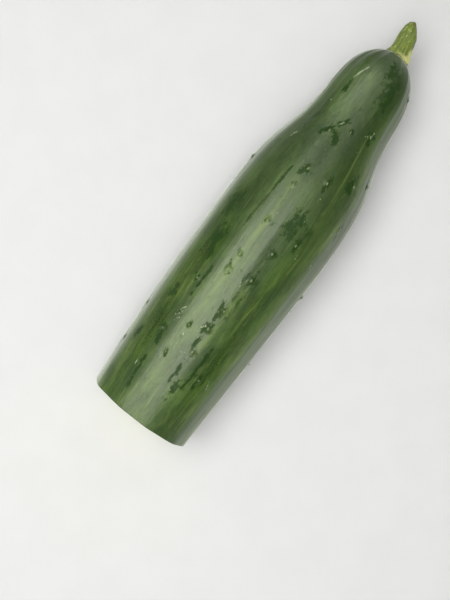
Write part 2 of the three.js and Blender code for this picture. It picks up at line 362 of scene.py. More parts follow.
# Surroundings: grey walls under a lighter ceiling, which starts at this height of the direction
CEILING_FROM_TO = (0.70, 0.85)
WALL_LIGHT = 0.22
CEILING_LIGHT = 0.48
WORLD_COLOUR = (1.0, 1.0, 0.98, 1)
FLOOR_REACH = 12.0

# Soft lights in metres: name, place, aim, size, power
SOFTBOXES = [
    ("key", (-0.14, 0.155, 0.80), (-0.14, 0.155, 0), (0.50, 0.61), 4.0),
    ("key_edge", (-0.04, 0.155, 0.81), (-0.04, 0.155, 0), (0.62, 0.61), 1.5),
    ("front", (-1.5, 0.0, 1.1), (-0.1, 0, 0), (1.2, 1.0), 11),
    ("back", (1.5, 0.0, 1.5), (0.1, 0, 0), (1.2, 1.0), 4),
]


def smooth(value):
    """Soft step from 0 to 1."""
    t = np.clip(value, 0, 1)
    return t * t * (3 - 2 * t)


def soft_noise(x, y, z, seed, size=16):
    """Smooth noise between -1 and 1 that changes over a distance of about 1."""
    table = np.random.default_rng(seed).uniform(-1, 1, (size, size, size))
    spots = [np.asarray(c, float) for c in np.broadcast_arrays(x, y, z)]
    floors = [np.floor(c).astype(int) for c in spots]
    shares = [smooth(c - f) for c, f in zip(spots, floors)]
    total = 0
    for corner in range(8):
        weight = 1
        index = []
        for axis in range(3):
            step = (corner >> axis) & 1
            weight = weight * (shares[axis] if step else 1 - shares[axis])
            index.append((floors[axis] + step) % size)
        total = total + weight * table[tuple(index)]
    return total


# Form of the fruit, by the same formulas as the solids

def neck_share(along):
    return 1 / (1 + np.exp(-(along - NECK_AT) / NECK_SPREAD))


def belly_radius(along):
    t = np.clip(along / BELLY_AT, 0, 1)
    return CUT_RADIUS + (BELLY_RADIUS - CUT_RADIUS) * t * (1 + BELLY_FULLNESS * (1 - t))


def fruit_radius(along):
    t = np.clip((along - SHOULDER_AT) / (SHOULDER_END - SHOULDER_AT), 0, 1)
    return (belly_radius(along) - NECK_DROP * neck_share(along)) * np.sqrt(1 - t**SHOULDER_POWER)


def rib_rise(along, angle):
    strength = 1 - (1 - NECK_RIB_SHARE) * neck_share(along)
    ends = 1 - smooth((along - SHOULDER_AT) / (SHOULDER_END - SHOULDER_AT))
    near = (angle - LEAN_PLACE + math.pi) % TURN - math.pi
    grown = smooth((along - LEAN_FROM) / (LEAN_TO - LEAN_FROM))
    lean = LEAN_TURN * grown * np.exp(-((near / LEAN_REACH) ** 2))
    turn = RIBS * (angle - FIRST_RIB - lean)
    uneven = 1 + RIB_UNEVENNESS * soft_noise(along / 60, np.sin(angle) * 2.2, np.cos(angle) * 2.2, 10)
    return strength * ends * uneven * (RIB_HEIGHT * np.cos(turn) + RIB_EDGE * np.cos(2 * turn))


def fruit_place(along, angle, radius):
    """Point at a radius from the fruit's middle line, in the solids' own axes before they are centred."""
    y = BEND_SHIFT + BEND * np.cos(math.pi * along / BEND_SPAN) + radius * np.sin(angle)
    z = belly_radius(along) - FLAT_DEPTH - NECK_DROOP * neck_share(along) + radius * np.cos(angle)
    z = 0.5 * (z + np.sqrt(z * z + 4 * FLOOR_SOFTNESS**2))
    askew = CUT_SLOPE * (y - CUT_RADIUS) * (1 - smooth(along / CUT_SLOPE_FADES))
    return np.stack([along + askew, y, z], -1)


def middle_place(along):
    """Point on the fruit's middle line."""
    return fruit_place(np.array([along]), np.zeros(1), np.zeros(1))


def draws(first):
    state = first
    while True:
        state = (state * 1664525 + 1013904223) % 2**32
        yield state / 2**32


def hidden_warts():
    draw = draws(FIRST_DRAW)
    places = []
    for row, row_degrees in enumerate(HIDDEN_WART_ROWS):
        along = HIDDEN_WARTS_FROM + HIDDEN_WART_STAGGER * (row % 2)
        while along < HIDDEN_WARTS_TO:
            shift = (next(draw) - 0.5) * HIDDEN_WART_SHIFT
            turn = (next(draw) - 0.5) * HIDDEN_WART_TURN
            width = HIDDEN_WART_WIDTH + HIDDEN_WART_EXTRA * next(draw)
            places.append((along + shift, row_degrees + turn, width))
            along += HIDDEN_WART_STEP
    return places


def hidden_rubs():
    chance = np.random.default_rng(41)
    places = []
    for _ in range(HIDDEN_RUBS):
        along = chance.uniform(*HIDDEN_RUBS_ALONG)
        degrees = chance.uniform(*HIDDEN_RUBS_DEGREES)
        length = chance.uniform(*HIDDEN_RUB_LENGTHS)
        places.append((along, degrees, length, chance.uniform(*HIDDEN_RUB_WIDTHS)))
    return places


def scratches():
    chance = np.random.default_rng(58)
    lines = []
    for _ in range(SCRATCHES):
        along = chance.uniform(*SCRATCHES_ALONG)
        degrees = chance.uniform(*SCRATCHES_DEGREES)
        length = chance.uniform(*SCRATCH_LENGTHS)
        drift = chance.uniform(*SCRATCH_DRIFTS)
        width = chance.uniform(*SCRATCH_WIDTHS)
        lines.append((along, degrees, along + length, degrees + drift, width))
    return lines


WARTS = SEEN_WARTS + hidden_warts()


def distance_to(along, angle, place_along, place_degrees, stretch=1.0):
    """Distance over the skin to a place, with lengths along the fruit divided by stretch."""
    turn = (angle - math.radians(place_degrees) + math.pi) % TURN - math.pi
    return np.hypot((along - place_along) / stretch, turn * fruit_radius(along))


def wart_fields(along, angle):
    """Height of the warts, nearness to a wart's tip, and the ring round each wart."""
    height = np.zeros_like(along)
    tip = np.zeros_like(along)
    ring = np.zeros_like(along)
    wobble = soft_noise(along * 0.9, np.cos(angle) * 20, np.sin(angle) * 20, 7)
    chance = np.random.default_rng(3)
    for place_along, degrees, width in WARTS:
        reach = WART_REACH * width
        apart = distance_to(along, angle, place_along, degrees, WART_STRETCH) * (1 + 0.4 * wobble) / reach
        dome = 1 - smooth(apart / 1.05)
        moat = np.exp(-(((apart - 1.35) / 0.4) ** 2))
        height += WART_HEIGHT * chance.uniform(*WART_HEIGHT_SHARES) * dome - MOAT_DEPTH * moat
        tip = np.maximum(tip, 1 - smooth(apart / 0.7))
        # A ring of bare skin round each wart, darker there also as painted shade round the bump
        ring_along = place_along + 0.45 * width * chance.uniform(-1, 1)
        ring_degrees = degrees + 0.8 * width * chance.uniform(-1, 1)
        stretch = chance.uniform(*RING_STRETCHES)
        around = distance_to(along, angle, ring_along, ring_degrees, stretch) / reach
        own_ring = 1 - smooth(around / chance.uniform(*RING_REACHES))
        ring = np.maximum(ring, own_ring * chance.uniform(*RING_STRENGTHS))
    return height, tip, ring


# Painted shade that darkens the skin towards the stem
def stem_end_painted_shade(along):
    return STEM_END_PAINTED_SHADE * smooth((along - STEM_END_PAINTED_SHADE_FROM) / STEM_END_PAINTED_SHADE_LENGTH)


def bloom_and_painted_light_field(along, angle):
    """Above 0 where the waxy coat is thick or a highlight is painted, below 0 where it is thin or shade is
    painted.
    """
    field = np.zeros_like(along)
    for place_along, degrees, length, width, strength in BLOOM_AND_PAINTED_LIGHT_PLACES:
        apart = distance_to(along, angle, place_along, degrees, length / width) / (width / 2)
        field += strength * (1 - smooth(apart / 1.4))
    # Painted shade towards the stem
    field -= stem_end_painted_shade(along)
    return np.clip(field, -1, 1)


def rub_field(along, angle):
    """1 where the waxy coat is worn off, falling to 0 outside each place."""
    field = np.zeros_like(along)
    for place_along, degrees, length, width in RUBBED + hidden_rubs():
        stretch = length / width
        apart = distance_to(along, angle, place_along, degrees, stretch) / (width / 2)
        field = np.maximum(field, 1 - apart * 0.5)
    return np.clip(field, 0, 1)


def line_field(along, angle, lines):
    """1 on the middle of each line, 0.5 at its edges and 0 at its whole width from it."""
    field = np.zeros_like(along)
    for start, start_degrees, end, end_degrees, width in lines:
        size = fruit_radius(np.array((start + end) / 2))
        across = [math.radians(degrees) * size for degrees in (start_degrees, end_degrees)]
        reach_x = end - start
        reach_y = across[1] - across[0]
        turned = (angle + math.pi) % TURN - math.pi
        x = along - start
        y = turned * size - across[0]
        share = np.clip((x * reach_x + y * reach_y) / (reach_x**2 + reach_y**2), 0, 1)
        apart = np.hypot(x - share * reach_x, y - share * reach_y) / (width / 2)
        field = np.maximum(field, 1 - apart * 0.5)
    return np.clip(field, 0, 1)


def pale_line_and_highlight_field(along, angle):
    field = np.zeros_like(along)
    wander = 0.9 * soft_noise(along / 16, np.cos(angle) * 3, np.sin(angle) * 3, 15)
    for degrees, start, end, width in PALE_LINES_AND_RIB_HIGHLIGHT:
        turn = (angle - math.radians(degrees) + math.pi) % TURN - math.pi
        apart = np.abs(turn * fruit_radius(along) + wander) / (width / 2)
        ends = smooth((along - start) / 12) * smooth((end - along) / 16)
        field = np.maximum(field, np.exp(-(apart**2)) * ends)
    return field


def skin_radius(along, angle):
    """Radius of the skin with its swellings, pleats and warts, and the fields that colour it."""
    radius = fruit_radius(along)
    round_y = np.sin(angle)
    round_z = np.cos(angle)
    swell = soft_noise(along / 26, round_y * 1.6, round_z * 1.6, 11)
    ripple = soft_noise(along / 10, round_y * 5, round_z * 5, 12)
    fade = np.clip(radius / 12, 0, 1)
    rough = SWELL * swell + RIPPLE * ripple
    folds = soft_noise(along / 42, round_y * 6, round_z * 6, 13)
    fine_folds = soft_noise(along / 30, round_y * 12, round_z * 12, 14)
    pleated = BODY_PLEAT_SHARE + (1 - BODY_PLEAT_SHARE) * neck_share(along)
    pleats = PLEAT * (folds + 0.5 * fine_folds) * pleated
    height, tip, ring = wart_fields(along, angle)
    full = radius + (rib_rise(along, angle) + rough + pleats) * fade + height
    return full, tip, ring


# Form of the stem, by the same formulas as the solids

def stem_radius(share):
    flare = STEM_FLARE * (1 - smooth(share / STEM_FLARE_SHARE))
    waist = STEM_WAIST_LOSS * smooth(share / STEM_WAIST_SHARE)
    towards_tip = np.clip((share - STEM_TIP_SHARE) / (1 - STEM_TIP_SHARE), 0, 1)
    return STEM_RADIUS + flare - waist - STEM_TIP_LOSS * towards_tip**STEM_TIP_POWER


def stem_ridge(share, angle):
    return STEM_RIDGE * np.cos(STEM_RIDGES * angle) * (1 - STEM_RIDGE_FADE * share)


def stem_place(share, angle, radius, sink=0.0):
    """Point of the stem at a share of its length, moved back into its cut end by sink."""
    y = radius * np.sin(angle)
    z = radius * np.cos(angle)
    oblique = STEM_CUT_SLOPE * y * smooth((share - STEM_CUT_FROM) / (1 - STEM_CUT_FROM))
    foot_y = BEND_SHIFT + BEND * math.cos(math.pi * FRUIT_LENGTH / BEND_SPAN)
    foot_z = belly_radius(FRUIT_LENGTH) - FLAT_DEPTH - NECK_DROOP * neck_share(FRUIT_LENGTH)
    return np.stack(
        [
            FRUIT_LENGTH + STEM_GAP + share * STEM_LENGTH + oblique - sink,
            foot_y + y + STEM_ASIDE + STEM_DRIFT_Y * share**STEM_DRIFT_Y_POWER,
            foot_z + z + STEM_DRIFT_Z * share**2,
        ],
        -1,
    )


def solids_shift():
    """The solids' axes are centred on their box: the stem's box gives by how much they moved."""
    sides = np.arange(STEM_SOLID_SIDES) * TURN / STEM_SOLID_SIDES
    shares = np.linspace(0, 1, 101)
    share, turn = np.meshgrid(shares, sides, indexing="ij")
    radius = stem_radius(share) * (1 + stem_ridge(share, turn))
    points = stem_place(share, turn, radius).reshape(-1, 3)
    low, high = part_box("stem")
    drift = (np.array(low) + np.array(high)) / 2 / MM - (points.min(0) + points.max(0)) / 2
    return np.array([drift[0], drift[1], 0.0])


# Meshes

SHIFT = solids_shift()


def add_mesh(name, points, faces, uvs=None, fields=None):
    """A piece from points in millimetres, faces as rows of indices, and a value a point for each field."""
    mesh = bpy.data.meshes.new(name)
    mesh.from_pydata(((np.asarray(points) + SHIFT) * MM).tolist(), [], faces)
    mesh.update()
    if uvs is not None:
        layer = mesh.uv_layers.new(name="OFBake")
        layer.data.foreach_set("uv", np.asarray(uvs, np.float32).ravel())
    for field, values in (fields or {}).items():
        attribute = mesh.attributes.new(field, "FLOAT", "POINT")
        attribute.data.foreach_set("value", np.asarray(values, np.float32).ravel())
    mesh.polygons.foreach_set("use_smooth", np.ones(len(mesh.polygons), bool))
    piece = bpy.data.objects.new(name, mesh)
    bpy.context.scene.collection.objects.link(piece)
    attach(piece, "root")
    return piece


def tube_faces(rows, columns):
    """Faces of rings joined in a row, with fans to the two extra points that close its ends.
    The rings run so that their faces look outwards when the angle grows from +Z towards +Y along +X."""
    faces = []
    for row in range(rows - 1):
        first = row * columns
        second = first + columns
        for column in range(columns):
            after = (column + 1) % columns
            faces.append((first + column, second + column, second + after, first + after))
    last = (rows - 1) * columns
    for column in range(columns):
        after = (column + 1) % columns
        faces.append((rows * columns, column, after))
        faces.append((rows * columns + 1, last + after, last + column))
    return faces


def tube_uvs(across, columns):
    """Corner places for the bake: across gives each row's place, and the angle goes up it."""
    uvs = []
    sides = [(column / columns, (column + 1) / columns) for column in range(columns)]
    for row in range(len(across) - 1):
        for low, high in sides:
            uvs += [(across[row], low), (across[row + 1], low), (across[row + 1], high), (across[row], high)]
    for low, high in sides:
        uvs += [(across[0] - CAP_UV_STEP, low), (across[0], low), (across[0], high)]
        uvs += [(across[-1] + CAP_UV_STEP, low), (across[-1], high), (across[-1], low)]
    return uvs


# Shader building blocks

def start_material(name, **constants):
    """A material with a Principled shader whose sockets hold the given constants."""
    material = bpy.data.materials.new(name)
    material.use_nodes = True
    tree = material.node_tree
    shader = tree.nodes["Principled BSDF"]
    for socket, value in constants.items():
        shader.inputs[socket.replace("_", " ")].default_value = value
    return material, tree, shader


def wire(tree, shader, **outputs):
    """Links outputs to the shader's sockets of the same names."""
    for socket, output in outputs.items():
        tree.links.new(output, shader.inputs[socket.replace("_", " ")])


def place_in(tree, socket, value):
    if isinstance(value, bpy.types.NodeSocket):
        tree.links.new(value, socket)
    elif isinstance(value, tuple) and len(value) == 3 and socket.type == "RGBA":
        socket.default_value = (*value, 1)
    else:
        socket.default_value = value


def noise(tree, scale, stretch=1.0, detail=4.0, rough=0.55, offset=0.0):
    """Noise over the surface with so many swings a metre; stretch lengthens it along the fruit."""
    coordinates = tree.nodes.new("ShaderNodeTexCoord")
    mapping = tree.nodes.new("ShaderNodeMapping")
    mapping.inputs["Scale"].default_value = (1 / stretch, 1, 1)
    mapping.inputs["Location"].default_value = (offset, offset * 0.7, offset * 1.3)
    tree.links.new(coordinates.outputs["Object"], mapping.inputs["Vector"])
    node = tree.nodes.new("ShaderNodeTexNoise")
    node.inputs["Scale"].default_value = scale
    node.inputs["Detail"].default_value = detail
    node.inputs["Roughness"].default_value = rough
    tree.links.new(mapping.outputs["Vector"], node.inputs["Vector"])
    return node.outputs["Fac"]


def stored(tree, name):
    """A value that the mesh holds at each point."""
    node = tree.nodes.new("ShaderNodeAttribute")
    node.attribute_name = name
    return node.outputs["Fac"]


def spread(tree, value, low, high, to_low=0.0, to_high=1.0):
    """Value between low and high, taken smoothly to between to_low and to_high."""
    node = tree.nodes.new("ShaderNodeMapRange")
    node.interpolation_type = "SMOOTHSTEP"
    for socket, number in (("From Min", low), ("From Max", high), ("To Min", to_low), ("To Max", to_high)):
        node.inputs[socket].default_value = number
    place_in(tree, node.inputs["Value"], value)
    return node.outputs["Result"]


def calc(tree, operation, first, second=0.0, third=0.0):
    node = tree.nodes.new("ShaderNodeMath")
    node.operation = operation
    for socket, value in zip(node.inputs, (first, second, third)):
        place_in(tree, socket, value)
    return node.outputs[0]


def stirred(tree, value, grain, size):
    """Value with a noise of this size added, half of it above and half below."""
    return calc(tree, "ADD", value, calc(tree, "MULTIPLY_ADD", grain, size, -size / 2))


def blend(tree, share, first, second):
    """Colour between first and second, by the share of the second."""
    node = tree.nodes.new("ShaderNodeMix")
    node.data_type = "RGBA"
    place_in(tree, node.inputs["Factor"], share)
    colours = [socket for socket in node.inputs if socket.type == "RGBA"]
    place_in(tree, colours[0], first)
    place_in(tree, colours[1], second)
    return [socket for socket in node.outputs if socket.type == "RGBA"][0]


def layered(tree, colour, layers):
    """Colours laid over one, each by a value that takes it from none to a share as it goes low to high."""
    for value, low, high, share, tint in layers:
        colour = blend(tree, spread(tree, value, low, high, 0, share), colour, tint)
    return colour


def bump(tree, height, distance, strength=1.0, under=None):
    node = tree.nodes.new("ShaderNodeBump")
    node.inputs["Distance"].default_value = distance
    node.inputs["Strength"].default_value = strength
    tree.links.new(height, node.inputs["Height"])
    if under is not None:
        tree.links.new(under, node.inputs["Normal"])
    return node.outputs["Normal"]


# Materials

def skin_material():
    material, tree, shader = start_material(
        "cucumber_skin", IOR=1.45, Specular_Tint=(1.0, 1.0, 0.86, 1),
        Sheen_Weight=1.0, Sheen_Roughness=0.2, Sheen_Tint=(0.94, 1.0, 0.84, 1),
    )
    cloud = noise(tree, 38, 3.0, 3, 0.5, 0.2)
    mottle = noise(tree, 120, 2.6, 5, 0.62, 0.5)
    streak = noise(tree, 520, 14.0, 4, 0.6, 0.9)
    fine_streak = noise(tree, 1500, 22.0, 3, 0.6, 1.4)
    speck = noise(tree, 1700, 1.4, 3, 0.6, 1.9)
    ragged = spread(tree, noise(tree, 560, 1.8, 5, 0.7, 2.3), 0.32, 0.68)
    stored_bloom_and_painted_light = stored(tree, "bloom_and_painted_light")

    colour = blend(tree, spread(tree, mottle, 0.36, 0.66), DEEP_GREEN, LEAF_GREEN)
    colour = layered(tree, colour, [
        (streak, 0.50, 0.74, 0.6, LIME_GREEN),
        (streak, 0.46, 0.26, 0.6, DARK_STREAK),
        (fine_streak, 0.46, 0.28, 0.45, DARK_STREAK),
        (fine_streak, 0.54, 0.74, 0.3, PALE_STREAK),
        (speck, 0.58, 0.74, 0.35, LIME_GREEN),
        (speck, 0.42, 0.28, 0.4, DARK_STREAK),
    ])
    # Darker skin, and painted shade on the neck, the shoulder and towards the stem
    colour = blend(tree, calc(tree, "MULTIPLY", stored(tree, "painted_light_and_wax"), 0.75), colour, DARK_SKIN_AND_PAINTED_SHADE_GREEN)

    # Bare skin: rubbed places, painted shadow along the upper rib, and the darker ring round each wart,
    # partly painted shade
    rub_and_painted_shadow = stirred(tree, stored(tree, "rub_and_painted_shadow"), ragged, 0.8)
    rubbed_and_shadowed = spread(tree, rub_and_painted_shadow, 0.26, 0.74)
    ring = stirred(tree, stored(tree, "ring"), ragged, 1.0)
    ringed = spread(tree, ring, 0.32, 0.70, 0, 0.95)
    bare_and_painted_shade = calc(tree, "MAXIMUM", rubbed_and_shadowed, ringed)
    clad = calc(tree, "SUBTRACT", 1.0, bare_and_painted_shade)
    patchy = spread(tree, cloud, 0.30, 0.72, 0.55, 1.15)
    lined = spread(tree, fine_streak, 0.30, 0.75, 0.78, 1.12)
    # Bloom, which also holds the painted highlight of the facets and the -Y flank
    bloom_and_painted_light = calc(tree, "MULTIPLY", calc(tree, "MULTIPLY", stored_bloom_and_painted_light, patchy), lined)
    bloom_and_painted_light = calc(tree, "MULTIPLY", bloom_and_painted_light, clad)
    colour = blend(tree, calc(tree, "MULTIPLY", bare_and_painted_shade, 0.92), colour, BARE_AND_PAINTED_SHADE_GREEN)
    colour = blend(tree, bloom_and_painted_light, colour, BLOOM_AND_PAINTED_HIGHLIGHT_GREY)

    # Pale lines, the one along the upper rib a painted highlight
    line = calc(tree, "MULTIPLY", stored(tree, "line"), spread(tree, mottle, 0.38, 0.62, 0.05, 0.6))
    colour = blend(tree, line, colour, PALE_LINE_AND_HIGHLIGHT_GREEN)
    # Scars, partly painted glints, and scratches
    scar = calc(tree, "ADD", stored(tree, "scar"), calc(tree, "MULTIPLY_ADD", ragged, 0.8, -0.42))
    colour = layered(tree, colour, [
        (scar, 0.42, 0.78, 0.72, SCAR_AND_GLINT_BUFF),
        (stored(tree, "tip"), 0.35, 0.95, 0.7, WART_OLIVE),
    ])
    colour = blend(tree, stored(tree, "edge"), colour, EDGE_GREEN)

    roughness = calc(tree, "MULTIPLY_ADD", bloom_and_painted_light, 0.35, 0.28)
    dull = calc(tree, "MULTIPLY_ADD", stored(tree, "top"), 0.42, 0.08)
    roughness = calc(tree, "ADD", roughness, calc(tree, "MULTIPLY", bare_and_painted_shade, dull))
    roughness = stirred(tree, roughness, speck, 0.12)
    relief = bump(tree, mottle, 0.0004, 0.22)
    relief = bump(tree, fine_streak, 0.00012, 0.6, relief)
    relief = bump(tree, speck, 0.00008, 0.6, relief)
    wire(tree, shader, Base_Color=colour, Roughness=roughness, Normal=relief)
    return material


def flesh_material():
    material, tree, shader = start_material(
        "cucumber_flesh", IOR=1.38, Subsurface_Weight=0.35, Subsurface_Scale=0.002,
        Subsurface_Radius=(1.0, 0.9, 0.4), Coat_Weight=0.35, Coat_Roughness=0.12,
    )
    cloud = noise(tree, 160, 1, 4, 0.6, 0.3)
    fibre = noise(tree, 900, 1, 4, 0.65, 0.8)
    cell = noise(tree, 2600, 1, 2, 0.5, 1.1)
    depth = stirred(tree, stored(tree, "depth"), cloud, 1.6)
    colour = blend(tree, spread(tree, cloud, 0.35, 0.7), FLESH_PALE, FLESH_WARM)
    colour = layered(tree, colour, [
        (depth, 5.0, 1.6, 0.55, FLESH_OUTER),
        (depth, 3.0, 0.5, 0.9, FLESH_LIME),
        (depth, 1.0, -0.1, 0.85, FLESH_RIM),
    ])
    for name, most, tint in (("gel", 0.88, GEL_YELLOW), ("wall", 0.7, WALL_CREAM), ("vein", 0.8, VEIN_GREEN)):
        colour = blend(tree, calc(tree, "MULTIPLY", stored(tree, name), most), colour, tint)
    colour = layered(tree, colour, [(fibre, 0.5, 0.8, 0.3, FIBRE_CREAM)])
    wet = calc(tree, "MULTIPLY_ADD", stored(tree, "gel"), -0.18, 0.36)
    wet = stirred(tree, wet, cell, 0.16)
    relief = bump(tree, fibre, 0.0002, 0.4)
    relief = bump(tree, cell, 0.00008, 0.5, relief)
    wire(tree, shader, Base_Color=colour, Roughness=wet, Normal=relief)
    return material


def seed_material():
    material, tree, shader = start_material(
        "cucumber_seeds", IOR=1.4, Subsurface_Weight=0.25, Subsurface_Scale=0.001,
        Coat_Weight=0.4, Coat_Roughness=0.1,
    )
    cloud = noise(tree, 700, 1, 4, 0.6, 0.4)
    colour = blend(tree, stored(tree, "rim"), SEED_MIDDLE, SEED_RIM)
    colour = layered(tree, colour, [(cloud, 0.4, 0.75, 0.5, SEED_CLOUD)])
    roughness = spread(tree, cloud, 0.3, 0.7, 0.22, 0.4)
    relief = bump(tree, cloud, 0.0001, 0.5)
    wire(tree, shader, Base_Color=colour, Roughness=roughness, Normal=relief)
    return material


def stem_material():
    material, tree, shader = start_material(
        "cucumber_stem", IOR=1.45, Sheen_Weight=1.0, Sheen_Roughness=0.25,
    )
    cloud = noise(tree, 260, 2, 4, 0.6, 0.6)
    fibre = noise(tree, 1500, 9, 4, 0.6, 1.2)
    grain = noise(tree, 2200, 1.3, 4, 0.65, 1.7)
    stripe = noise(tree, 420, 7, 3, 0.55, 2.1)
    pimple = noise(tree, 1050, 1.4, 2, 0.5, 2.6)
    colour = blend(tree, spread(tree, cloud, 0.35, 0.7), STEM_DARK, STEM_LIGHT)
    colour = layered(tree, colour, [
        (stripe, 0.47, 0.62, 0.7, STEM_STRIPE),
        (fibre, 0.5, 0.75, 0.6, STEM_FIBRE),
        (grain, 0.54, 0.68, 0.6, STEM_GRAIN),
        (stirred(tree, stored(tree, "pale"), cloud, 0.6), 0.2, 0.8, 0.9, STEM_PALE),
        (pimple, 0.55, 0.68, 0.5, STEM_PIMPLE),
        (stirred(tree, stored(tree, "dry"), cloud, 0.5), 0.30, 0.7, 0.85, STEM_DRY),
    ])
    colour = blend(tree, stored(tree, "pith"), colour, STEM_PITH)
    roughness = spread(tree, grain, 0.3, 0.7, 0.42, 0.66)
    relief = bump(tree, fibre, 0.00025, 0.6)
    relief = bump(tree, grain, 0.0002, 0.6, relief)
    relief = bump(tree, pimple, 0.0004, 0.6, relief)
    wire(tree, shader, Base_Color=colour, Roughness=roughness, Normal=relief)
    return material


def tip_material():
    material, tree, shader = start_material("cucumber_wart_tips", IOR=1.45)
    grain = noise(tree, 3200, 1, 4, 0.6, 0.6)
    colour = blend(tree, spread(tree, grain, 0.35, 0.7), CORK_DARK, CORK_LIGHT)
    roughness = spread(tree, grain, 0.3, 0.7, 0.35, 0.6)
    relief = bump(tree, grain, 0.0001, 0.6)
    wire(tree, shader, Base_Color=colour, Roughness=roughness, Normal=relief)
    return material


# Skin: from the recess behind the flesh, over the cut edge and along the fruit to its tip

def spaced(runs):
    """Distances in runs of even steps."""
    places = []
    for start, end, steps in runs:
        places += [start + (end - start) * step / steps for step in range(steps)]
    return places + [runs[-1][1]]


def skin():
    angle = np.arange(SKIN_COLUMNS) * TURN / SKIN_COLUMNS
    rows = spaced(SKIN_RUNS)
    along, turn = np.meshgrid(np.array(rows), angle, indexing="ij")
    radius, tip, ring = skin_radius(along, turn)
    # Rubbed places and scuffs, with painted shadow along the upper rib
    rub_and_painted_shadow = np.maximum(rub_field(along, turn), line_field(along, turn, SCUFFS_AND_PAINTED_RIB_SHADOW))
    scratched = SCRATCH_STRENGTH * line_field(along, turn, scratches())
    # Scars, partly painted glints, and scratches
    scar = np.maximum(line_field(along, turn, SCARS_AND_PAINTED_GLINTS), scratched)
    # Pale lines, the one along the upper rib a painted highlight
    line = pale_line_and_highlight_field(along, turn)
    radius = radius + SCAR_HEIGHT * smooth(2 * scar - 0.6)
    # Painted light: more bloom on the upper facet and on every second facet round from it, less on those
    # between
    facet_painted_light = np.cos(RIBS / 2 * (turn - TOP_PLACE))
    ridge = 0.5 + 0.5 * np.cos(RIBS * (turn - FIRST_RIB))
    top = np.exp(-(((turn + math.pi) % TURN - math.pi - TOP_PLACE) / TOP_REACH) ** 2)
    bloom_and_painted_light = BLOOM + FACET_PAINTED_LIGHT * facet_painted_light + RIB_BLOOM * ridge + NECK_BLOOM * neck_share(along)
    # Places of more and less bloom, with painted highlight on the -Y flank, and painted shade on the neck,
    # the shoulder and towards the stem
    painted_light_and_wax = bloom_and_painted_light_field(along, turn)
    bloom_and_painted_light = np.clip(bloom_and_painted_light + BLOOM_AND_PAINTED_LIGHT_WEIGHT * (painted_light_and_wax + stem_end_painted_shade(along)), 0.02, 1)

    # The knife's edge turns inwards over a small round, then the skin is seen edge-on
    rim = radius[0]
    front = [(RECESS_DEPTH, rim * 0.5)]
    front += [(behind, rim - inside) for behind, inside in reversed(EDGE_PROFILE)]
    rings = [fruit_place(np.full_like(angle, behind), angle, size) for behind, size in front]
    rings += list(fruit_place(along, turn, radius))
    fields = {
        "tip": tip, "ring": ring, "rub_and_painted_shadow": rub_and_painted_shadow, "bloom_and_painted_light": bloom_and_painted_light, "scar": scar, "line": line,
        "painted_light_and_wax": np.maximum(-painted_light_and_wax, 0), "top": top,
    }
    before = np.zeros((len(front), SKIN_COLUMNS))
    fields = {name: np.concatenate([before, values]) for name, values in fields.items()}
    fields["edge"] = np.concatenate([before + 1, np.zeros_like(along)])
    points = np.concatenate(rings + [middle_place(RECESS_DEPTH), middle_place(FRUIT_LENGTH)])
    fields = {name: np.append(values.ravel(), [0, 0]) for name, values in fields.items()}
    reach = [EDGE_UV_START + EDGE_UV_STEP * row for row in range(len(front))]
    reach += list(SKIN_UV_START + SKIN_UV_REACH * np.array(rows) / FRUIT_LENGTH)
    faces = tube_faces(len(rings), SKIN_COLUMNS)
    piece = add_mesh("skin", points, faces, tube_uvs(reach, SKIN_COLUMNS), fields)
    piece.data.materials.append(skin_material())
    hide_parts("fruit")


# Flesh: a disc in the recess, with seed chambers, pale walls and veins

def chamber_fields(radius, angle):
    """Depth share of the seed chambers, and the pale walls between and around them."""
    lobe = np.cos(CHAMBERS * (angle - CHAMBER_TURN))
    edge = CHAMBER_RADIUS * (1 - CHAMBER_LOBE + CHAMBER_LOBE * lobe)
    depth = smooth((edge - radius) / (1.5 * CHAMBER_EDGE)) * smooth(radius / CHAMBER_EDGE)
    outline = np.exp(-(((radius - edge - 0.3) / 0.8) ** 2))
    between = smooth((-lobe - 0.3) / 0.7) * smooth((edge + 1.0 - radius) / 2.5)
    return depth * (1 - 0.8 * between), np.clip(outline * 0.7 + 0.8 * between, 0, 1)


def flesh_height(radius, angle, reach):
    """How far the cut face stands out of the cut plane, and its fields."""
    y = radius * np.sin(angle)
    z = radius * np.cos(angle)
    ragged = 0.4 * soft_noise(y, z, 0.3, 21) + 0.9 * soft_noise(y / 2.6, z / 2.6, 0.8, 27)
    twist = 0.1 * soft_noise(y / 2.2, z / 2.2, 1.4, 28)
    depth, wall = chamber_fields(radius + ragged, angle + twist)
    share = radius / reach
    bulge = FLESH_BULGE * (1 - share**4)
    grain = FLESH_GRAIN * (soft_noise(y / 0.8, z / 0.8, 3.5, 22) + soft_noise(y / 3, z / 3, 5.5, 23))
    knife = KNIFE_MARK * np.cos((y * 0.8 + z * 0.6) / 0.9)
    vein = np.zeros_like(radius)
    chance = np.random.default_rng(5)
    for spot in range(VEINS + FAINT_VEINS):
        where = TURN * chance.uniform(0, 1)
        far = reach * chance.uniform(*(VEIN_PLACES if spot < VEINS else FAINT_VEIN_PLACES))
        strength = chance.uniform(*VEIN_STRENGTHS) if spot < VEINS else FAINT_VEIN_STRENGTH
        out = y * np.sin(where) + z * np.cos(where) - far
        side = y * np.cos(where) - z * np.sin(where)
        gap = np.hypot(out / chance.uniform(*VEIN_LENGTHS), side / chance.uniform(*VEIN_WIDTHS))
        vein = np.maximum(vein, strength * np.exp(-(gap**2)))
    height = bulge + grain * (1 - share**6) + knife
    height = height - GEL_DEPTH * depth + WALL_RISE * wall - VEIN_SINK * vein
    return height, depth, wall, vein


